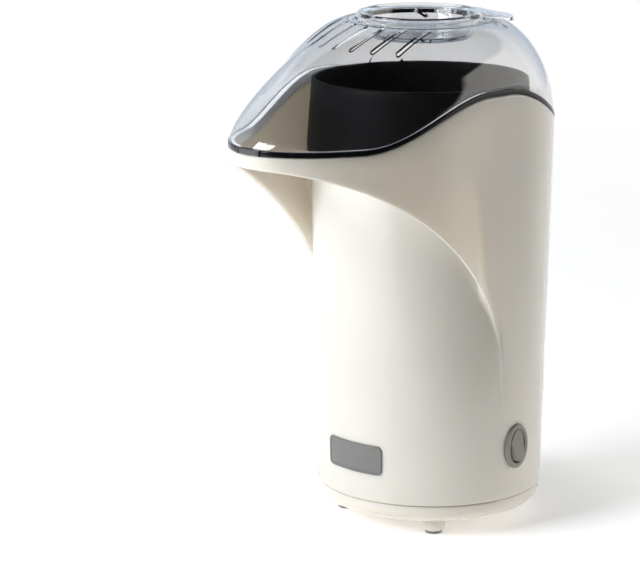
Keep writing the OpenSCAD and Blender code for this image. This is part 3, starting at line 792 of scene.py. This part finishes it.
def build_bezel():
    """Oval bezel that follows the curve of the body, with a rounded rim and an oval well for the rocker."""
    face = housing_high[0]

    def ring(grow, x):
        """An oval grown by grow; x is its distance out from the body axis, or a rule for it."""
        outline = oval(SWITCH_HALF_W + grow, SWITCH_HALF_H + grow, 96)
        return [(u, v, x(u) if callable(x) else x) for u, v in outline]

    def skin(y):
        """Distance out to the skin of the body, y to the side of the switch."""
        return math.sqrt(body_r(SWITCH_Z) ** 2 - y * y)

    rows = [ring(-1.9, BEZEL_FOOT_X), ring(-1.9, lambda y: skin(y) - 0.4),
            ring(-0.1, lambda y: skin(y) - 0.35), ring(0.0, lambda y: skin(y) + 0.1)]
    for a in np.linspace(0, math.pi / 2, 7):
        share = 0.35 + 0.65 * math.sin(a)
        rows.append(ring(-0.9 * (1 - math.cos(a)), lambda y: mix(skin(y) + 0.1, face, share)))
    rows += [ring(-2.3, face), ring(-2.6, face - 0.1), ring(-WELL_INSET, face - 0.4),
             ring(-WELL_INSET, face - 2), ring(-WELL_INSET, WELL_FLOOR_X)]
    verts, faces = join_rings(rows, caps=True)
    return make_mesh("switch_bezel", [on_side(*v) for v in verts], faces, sharp=45, weld=0.005)


ROCKER_TILT = math.radians(8)
PIVOT_X = 61.0
ROCKER_MID = 5.9  # height of the rocker's middle above its pivot, and the rise from there to its ends
ROCKER_RISE = 1.4
ROCKER_EDGE = 1.3  # width of its soft edge
ROCKER_FOOT = -3.0


def build_rocker():
    """Rocker pressed at its top: a shallow V in section, with soft edges and an oval outline."""
    half_w, half_h = SWITCH_HALF_W - WELL_INSET - 0.35, SWITCH_HALF_H - WELL_INSET - 0.5

    def crown(y):
        """Height of the rocker's face above its pivot."""
        v = abs(y) / half_h
        return ROCKER_MID + ROCKER_RISE * v * (0.3 + 0.7 * smooth(v * 3))

    rows = [[(x * 0.8, y * 0.7, ROCKER_FOOT) for x, y in oval(half_w, half_h, 72)]]
    for grow, drop in ((-0.2, 8.7), (0, 7.2), (0, 1.4), (-0.2, 0.75), (-0.65, 0.22), (-ROCKER_EDGE, 0.0)):
        outline = oval(half_w + grow, half_h + grow, 72)
        rows.append([(x, y, max(ROCKER_FOOT + 0.4, crown(y) - drop)) for x, y in outline])
    top = oval(half_w - ROCKER_EDGE, half_h - ROCKER_EDGE, 72)
    for s in (0.85, 0.7, 0.55, 0.4, 0.25, 0.12):
        rows.append([(x * s, y * s, crown(y * s)) for x, y in top])
    verts, faces = join_rings(rows, caps=True)

    def place(x, y, h):
        """Turned about the pivot so that the top is pressed in."""
        c, s = math.cos(ROCKER_TILT), math.sin(ROCKER_TILT)
        return PIVOT_X + h * c - y * s, x, SWITCH_Z + y * c + h * s

    return make_mesh("switch_rocker_cap", [place(*v) for v in verts], faces, sharp=50, weld=0.005)


place_piece(build_bezel(), "machine", M["switch"], ["switch_housing"])
place_piece(build_rocker(), "rocker", M["rocker"], ["switch_rocker"])

# ---- black collar

COLLAR_R = 63.6  # radius of the collar up to where it begins to narrow, and at its top
COLLAR_TOP_R = 61.2
COLLAR_NARROW_Z = 218
COLLAR_WALL = 2.2
FLANGE_Z = 208.0
FLANGE_THICK = 2.2


def build_collar():
    """Deep black collar: a funnel from the popping chamber, then a wall that narrows to a rounded lip."""
    z0 = collar_low[2]
    top, top_r, wall = collar_high[2], COLLAR_TOP_R, COLLAR_WALL
    profile = [(40.4, z0), (53, z0), (53, z0 + 2.2), (45.5, z0 + 2.4)]
    profile += [(52.6, FLANGE_Z - 1.1), (54.0, FLANGE_Z), (63.2, FLANGE_Z), (COLLAR_R, 208.4)]
    profile += [(COLLAR_R, 213), (COLLAR_R, COLLAR_NARROW_Z)]
    profile += [(mix(COLLAR_R, top_r, k / 6), mix(COLLAR_NARROW_Z, top - 0.6, k / 6)) for k in range(1, 7)]
    profile += [(top_r - 0.2, top - 0.2), (top_r - 0.6, top), (top_r - wall + 0.5, top)]
    profile += [(top_r - wall + 0.1, top - 0.3)]
    profile += [(mix(top_r - wall, 63.4 - wall, k / 6), mix(top - 0.8, 219, k / 6)) for k in range(7)]
    profile += [(60.6, 216.6), (59.4, 214.6), (58.0, 213.0), (41.8, z0 + 1.6), (40.6, z0 + 0.6)]
    verts, faces = spin_profile(profile, turn(192), (0, -AXIS_FWD))
    return make_mesh("collar", verts, faces, sharp=40)


def build_collar_plate():
    """Flat flange from the foot of the collar to the inside of the round body."""
    outer = body_r(FLANGE_Z) - WALL - 0.3
    angles = turn(120)

    def inner(a):
        """A circle just inside the collar's outside, seen from the body axis and kept inside the flange."""
        o = AXIS_FWD * math.sin(a)
        r = COLLAR_R - 1.2
        return min(outer - 0.2, -o + math.sqrt(r ** 2 - (AXIS_FWD * math.cos(a)) ** 2))

    low, high = FLANGE_Z, FLANGE_Z + FLANGE_THICK
    rows = [[(r(a) * math.cos(a), r(a) * math.sin(a), z) for a in angles]
            for r, z in ((inner, low), (lambda a: outer, low), (lambda a: outer, high), (inner, high))]
    return make_mesh("collar_flange", *join_rings(rows, closed=True), sharp=40)


place_piece(build_collar(), "machine", M["black"], ["chamber_collar"])
place_piece(build_collar_plate(), "machine", M["black"])

# ---- clear cover

VENT_PITCH = 11.0
VENT_FRONT_Z = 250  # the long front vents are cut down to this height, and the short rear ones
VENT_REAR_Z = 258  # to this one
VENT_TOP_Z = 300
SEAT_R = DOME_TOP_R - 0.6  # inside this radius the cover is its flat seat ring


def dome_power(b):
    """Exponent of the dome's section in direction b, largest over the spout, where the dome is flattest."""
    return 1.15 + 0.34 * max(0.0, -math.sin(b)) ** 2 - 0.05 * max(0.0, math.sin(b)) ** 2


def dome_point(b, q, d):
    """Point on the dome: direction b, angle up q (radians), inset d."""
    rr = reach_from_dome(b, DOME_INSET, R_HIGH) - d
    z0 = rim_z(AXIS_FWD - rr * math.sin(b)) + SEAT_GAP + BAND_H
    e = dome_power(b)
    top = DOME_TOP_R - d * 0.4
    r = top + (rr - top) * max(0.0, math.cos(q)) ** e
    return r, z0 + (DOME_TOP_Z - d - z0) * math.sin(q) ** e


def band_point(b, inset, dz):
    """Point in the band between rim and dome: inset from the body's outline, dz above the cover's foot."""
    rr = reach_from_dome(b, inset, R_HIGH)
    edge = AXIS_FWD - reach_from_dome(b, 0, R_HIGH) * math.sin(b)
    return rr, rim_z(edge) + SEAT_GAP + dz


def dome_xyz(b, point):
    """A point of (radius, height) in direction b from the dome's axis, in the CAD frame."""
    return point[0] * math.cos(b), -AXIS_FWD + point[0] * math.sin(b), point[1]


def cover_columns():
    """Directions of the cover's columns, closest over the spout."""
    front = list(np.arange(-150, -30, 1.25))
    rest = list(np.arange(-30, 210, 2.5))
    return [math.radians(b) for b in front + rest]


def cover_section(b):
    """Closed section of the clear dome: outside up to the seat ring, then down the inside."""
    angles = [math.radians(q) for q in (2, 5, 9, 13, 18, 24, 30, 36, 42, 48, 54, 60, 66, 72, 78, 84, 88)]
    outer = [dome_point(b, q, 0) for q in angles]
    inner = [dome_point(b, q, DOME_WALL) for q in angles[::-1]]
    under = DOME_TOP_Z - DOME_WALL
    ring = [(DOME_TOP_R - 0.5, DOME_TOP_Z), (38.4, DOME_TOP_Z), (37.4, DOME_TOP_Z + 0.15),
            (37.0, DOME_TOP_Z + 0.6), (36.8, SEAT_TOP_Z - 0.5), (36.3, SEAT_TOP_Z), (32.9, SEAT_TOP_Z),
            (32.4, SEAT_TOP_Z - 0.5), (32.4, under + 0.4), (32.8, under), (38.0, under)]
    foot = [band_point(b, inset, BEAD_TOP + dz)
            for inset, dz in ((DOME_INSET + DOME_WALL, 0.2), (1.7, 0.05), (0.8, 0.05), (DOME_INSET, 0.2))]
    return [dome_xyz(b, p) for p in outer + ring + inner + foot]


def painted_shade_bead_section(b):
    """Closed section of the dark bead round the foot of the cover: painted shade for the dark line where the
    clear cover sits on the rim.
    """
    pts = [(0.35, 0.0), (0.08, 0.15), (0.0, 0.5), (0.0, BEAD_TOP - 0.5), (0.12, BEAD_TOP - 0.15),
           (0.45, BEAD_TOP), (1.6, BEAD_TOP - 0.05), (1.6, 0.0)]
    return [dome_xyz(b, band_point(b, BEAD_INSET + i, z)) for i, z in pts]


def skirt_section(b):
    """Closed section of the skirt inside the bead, which hangs down inside the body; its pale opaque colour
    is painted light, standing in for light seen through the clear plastic.
    """
    foot = -SKIRT_DEPTH
    pts = [(1.8, BEAD_TOP + 0.03), (WALL + 1.6, BEAD_TOP - 0.3), (WALL + 2, 0.4), (WALL + 2, foot + 0.3),
           (WALL + 1.7, foot), (WALL + 0.9, foot), (WALL + 0.6, foot + 0.3), (WALL + 0.5, 0.0), (1.8, 0.0)]
    return [dome_xyz(b, band_point(b, i, z)) for i, z in pts]


def loft_closed(name, rows, sharp, weld=0.0005):
    """A closed section carried round a closed path."""
    return make_mesh(name, *join_rings(rows, closed=True), sharp, weld)


def vent_cutters():
    """Seven long vents over the spout and seven short ones at the back, all upright slots."""
    cutters = []
    half = SLOT_W / 2
    round_end = np.linspace(0, math.pi, 11)
    for i in range(-3, 4):
        x = VENT_PITCH * i
        # Each vent runs from near to far, measured forward from the body's axis
        for near, far, z0 in ((52 - x * x / 85, 82 - x * x / 72, VENT_FRONT_Z),
                              (-45 + x * x / 85, -33 + x * x / 85, VENT_REAR_Z)):
            outline = [(x + half * math.cos(a), -far + half - half * math.sin(a)) for a in round_end]
            outline += [(x - half * math.cos(a), -near - half + half * math.sin(a)) for a in round_end]
            cutters.append(prism("vent", outline, z0, VENT_TOP_Z))
    return cutters


columns = cover_columns()
cover = loft_closed("cover", [cover_section(b) for b in columns], 40)
cut(cover, vent_cutters(), sharp=40)
place_piece(cover, "cover", [M["clear"], M["cup"]], ["clear_cover"])
for face in cover.data.polygons:
    # The flat seat ring looks as pale as the cup
    from_axis = math.hypot(face.center.x, face.center.y + AXIS_FWD * MM)
    face.material_index = int(from_axis < SEAT_R * MM)
# Cycles makes clear plastic cast a full shadow, so the cover and the cup cast none: the light goes through
cover.visible_shadow = False
# The dark bead is painted shade along the cover's seat on the rim
bead = loft_closed("cover_bead_painted_shade", [painted_shade_bead_section(b) for b in columns], 45)
place_piece(bead, "cover", M["band"])
skirt = loft_closed("cover_skirt_painted_light", [skirt_section(b) for b in columns], 45)
place_piece(skirt, "cover", M["skirt"])


def box_mesh(x0, x1, y0, y1, z0, z1, rounding):
    """Points and faces of a block along Z with rounded upright edges."""
    outline = rounded([(x0, y0), (x1, y0), (x1, y1), (x0, y1)], rounding)
    return join_rings([[(x, y, z) for x, y in outline] for z in (z0, z1)], caps=True)


LATCH_HALF_W = 7
LATCH_HALF_H = 1.6


def build_latch():
    """Press tab in the middle of the bead at the tip, with its tongue inside the lip and dark ticks at its
    ends, painted shade for the gaps beside it.
    """
    z0 = RIM_SPOUT + SEAT_GAP
    w, h = LATCH_HALF_W, LATCH_HALF_H
    mid = z0 + 0.2 + h
    outline = rounded([(-w, mid - h), (w, mid - h), (w, mid + h), (-w, mid + h)], 0.8)
    rows = []
    for grow, y in ((0, 1.6 - REACH), (0, -REACH - 0.5), (-0.15, -REACH - 0.75), (-0.45, -REACH - 0.85)):
        rows.append([(x * (w + grow) / w, y + (x / w) ** 2 * 0.75, mid + (z - mid) * (h + grow) / h)
                     for x, z in outline])
    verts, faces = join_rings(rows, caps=True)
    tongue = box_mesh(-4, 4, WALL + 1.5 - REACH, WALL + 3.3 - REACH, LIP_Z - 0.6, RIM_SPOUT - 0.6, 0.5)
    # Two thin dark blocks at the tab's ends: painted shade for the gaps beside the tab
    gap_shade_ticks = [box_mesh(x, x + 0.9, -REACH - 0.3, 2 - REACH, z0 + 0.1, z0 + 3.3, 0.2) for x in (-8.1, 7.2)]
    for v, f in [tongue] + gap_shade_ticks:
        faces += [tuple(i + len(verts) for i in q) for q in f]
        verts += v
    return make_mesh("cover_latch", verts, faces, sharp=45)


place_piece(build_latch(), "cover", M["latch"])

# ---- measuring cup

TAB_DIR = math.radians(50)  # the thumb tab points this way
TAB_END = 52.4  # and reaches this far from the cup's axis
TAB_HALF = 13.0
TAB_SQUARE = 9.0  # exponent of its outline: the higher, the squarer its corners
TAB_DROOP = 2.6
TAB_THICK = 1.7
CUP_R = 35.0
CUP_NECK_R = 31.8  # the flange begins here
CUP_FLOOR = 2


def cup_columns():
    """Directions of the cup's columns from the middle of the tab, closest there."""
    offsets = list(np.arange(-30, 30, 1.0)) + list(np.arange(30, 330, 3.0))
    return [math.radians(a) for a in offsets]


def build_cup():
    """Shallow clear cup with a flat flange that grows out into a thumb tab."""
    seat = SEAT_TOP_Z + 0.35
    z0, z1 = cup_low[2], cup_high[2]
    rows = []
    for a in cup_columns():
        c, s, k = math.cos(a), abs(math.sin(a)), TAB_SQUARE
        square = ((max(c, 1e-3) / TAB_END) ** k + (s / TAB_HALF) ** k) ** (-1 / k) if c > 0 else 0
        r_tab = max(CUP_R, min(square, TAB_END))
        grow = r_tab - CUP_R
        droop = TAB_DROOP * smooth(grow / 17)
        thick = mix(z1 - seat, TAB_THICK, smooth(grow / 8))
        top_out = z1 - 0.15 - droop - 0.4 * smooth(grow / 8)
        low_out = top_out - thick
        floor = z0 + CUP_FLOOR
        steps = (0.25, 0.5, 0.75, 1)
        outer = [(0.02, z0), (18, z0), (26, z0), (27.6, z0 + 0.3), (28.8, z0 + 1.2), (29.5, z0 + 2.8),
                 (30.4, z0 + 7), (31.2, seat - 0.5), (CUP_NECK_R, seat)]
        flange = [(mix(CUP_NECK_R, r_tab - 0.6, u), mix(seat, low_out, smooth(u))) for u in steps]
        flange += [(r_tab - 0.15, low_out + 0.15), (r_tab, mix(low_out, top_out, 0.4)),
                   (r_tab, top_out - 0.5), (r_tab - 0.2, top_out - 0.15), (r_tab - 0.6, top_out)]
        back = [(mix(r_tab - 0.6, CUP_R - 1.2, u), mix(top_out, z1 - 0.05, smooth(u))) for u in steps]
        inner = [(CUP_R - 1.8, z1), (CUP_R - 2.4, z1 - 0.15), (32.0, z1 - 0.9), (30.6, z1 - 1.5),
                 (30.0, z1 - 2.2), (28.9, z0 + 8), (27.9, z0 + 4.6), (27.2, z0 + 3.0), (25.8, floor + 0.1),
                 (24.5, floor), (14, floor), (0.02, floor)]
        section = outer + flange + back + inner
        d = a + TAB_DIR
        rows.append([(r * math.cos(d), -AXIS_FWD + r * math.sin(d), z) for r, z in section])
    return loft_closed("cup", rows, 40, weld=0.05)


cup = place_piece(build_cup(), "cup", M["cup"], ["measuring_cup"])
cup.visible_shadow = False

# ---- floor, light and camera

FLOOR_R = 4500
SWEEP_AXIS = (0.94, -0.342, 0)  # across the floor, to the right of the camera's view
SWEEP_END = (0.38, 0.24)  # metres along it at which the white sweep is gone and is whole
FLOOR_GLOW = (0.54, 0.74)  # strength near the object and far away
FLOOR_GLOW_OVER = (0.3, 2.0)  # metres from the object over which it goes from one to the other
CONTACT_SHADE = -0.2  # painted contact shadow: the floor's glow changes by this much under the object
CONTACT_OVER = (0.07, 0.15)
FLOOR_DARK = (0.03, 0.03, 0.03)  # beyond the end of the sweep
BACKDROP_NORMAL = (-0.342, 0.94, 0.0)  # from the object to the backdrop
BACKDROP_ACROSS = (0.94, 0.342, 0)  # along the backdrop, from left to right
BACKDROP_RIGHT = (2.1, 2.03, 1.93)
BACKDROP_LEFT = (0.60, 0.68, 0.78)
BACKDROP_TOP = 0.615  # sine of its elevation
STUDIO_DARK = (0.02, 0.02, 0.02)


def build_floor():
    """A white floor that glows a little, so that it stays white around the object."""
    outline = [(FLOOR_R * math.cos(a), FLOOR_R * math.sin(a)) for a in turn(96)]
    n = len(outline)
    verts = [(x * s, y * s, 0.0) for s in (1.0, 0.6, 0.3, 0.1) for x, y in outline] + [(0, 0, 0)]
    faces = grid_faces(4, n, False, True) + [(3 * n + i, 3 * n + (i + 1) % n, 4 * n) for i in range(n)]
    floor = make_mesh("studio_floor", verts, faces)
    s = Shader("studio_floor", (0.90, 0.90, 0.905), 0.55, Emission_Color=(1.0, 0.98, 0.95, 1.0))

    # The white sweep ends to the right of the camera, in front of the backdrop
    lit = combine(s.tree, "MAXIMUM", share_along(s.tree, s.coords, SWEEP_AXIS, *SWEEP_END),
                  share_along(s.tree, s.coords, BACKDROP_NORMAL, -0.05, 0.05))
    away = new_node(s.tree, "VectorMath", operation="LENGTH")
    s.link(s.coords, away.inputs[0])
    # Less glow close under the object paints a contact shadow on the floor
    glow = combine(s.tree, "ADD", ramp(s.tree, away.outputs["Value"], *FLOOR_GLOW_OVER, *FLOOR_GLOW),
                   ramp(s.tree, away.outputs["Value"], *CONTACT_OVER, CONTACT_SHADE, 0.0))
    s.link(combine(s.tree, "MULTIPLY", lit, glow), s.bsdf.inputs["Emission Strength"])
    s.vary_colour(s.noise(600, 2), 0.985, 1.0)
    s.link(blend(s.tree, FLOOR_DARK, s.tone, lit), s.bsdf.inputs["Base Color"])
    s.vary_rough(s.noise(200, 3), 0.5, 0.62)
    s.bump(s.noise(1.5, 3), 0.02, 0.4)
    floor.data.materials.append(s.mat)
    floor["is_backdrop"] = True


def place_aimed(name, data, location, target):
    """An object at one point that faces another, both in metres."""
    obj = bpy.data.objects.new(name, data)
    obj.location = location
    obj.rotation_euler = (Vector(target) - Vector(location)).to_track_quat("-Z", "Y").to_euler()
    bpy.context.scene.collection.objects.link(obj)
    return obj


def studio_world():
    """Dark studio with a backdrop behind the object: white on the right, dimmer and bluish on the left."""
    world = bpy.data.worlds.new("studio")
    bpy.context.scene.world = world
    world.use_nodes = True
    tree = world.node_tree
    tree.nodes.clear()
    back = new_node(tree, "Background")
    coords = new_node(tree, "TexCoord").outputs["Generated"]
    ahead = share_along(tree, coords, BACKDROP_NORMAL, -0.01, 0.05)
    below_top = share_along(tree, coords, (0, 0, 1), BACKDROP_TOP + 0.03, BACKDROP_TOP - 0.03)
    sides = blend(tree, BACKDROP_LEFT, BACKDROP_RIGHT, share_along(tree, coords, BACKDROP_ACROSS, 0.1, 0.85))
    backdrop = combine(tree, "MULTIPLY", ahead, below_top)
    tree.links.new(blend(tree, STUDIO_DARK, sides, backdrop), back.inputs["Color"])
    tree.links.new(back.outputs[0], new_node(tree, "OutputWorld").inputs["Surface"])


build_floor()
studio_world()

# A softbox in front on the left, which the camera doesn't see
key = bpy.data.lights.new("key", "AREA")
key.shape = "RECTANGLE"
key.size = key.size_y = 0.9
key.energy = 30
key.color = (0.96, 0.99, 1.03)
place_aimed("key", key, (-0.46, -1.40, 0.95), (0, -0.03, 0.14)).visible_camera = False

camera = bpy.data.cameras.new("camera")
camera.sensor_width = 36.0
camera.lens = 161.1
bpy.context.scene.camera = place_aimed(
    "camera", camera, (1.0589, -1.2000, 0.5123), (-0.0441, -0.0457, 0.1329))
bpy.context.scene.view_settings.view_transform = "Standard"

boxes = {"cad": cad_box, "visual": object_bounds()}
{key: [[float(c) for c in corner] for corner in box] for key, box in boxes.items()}
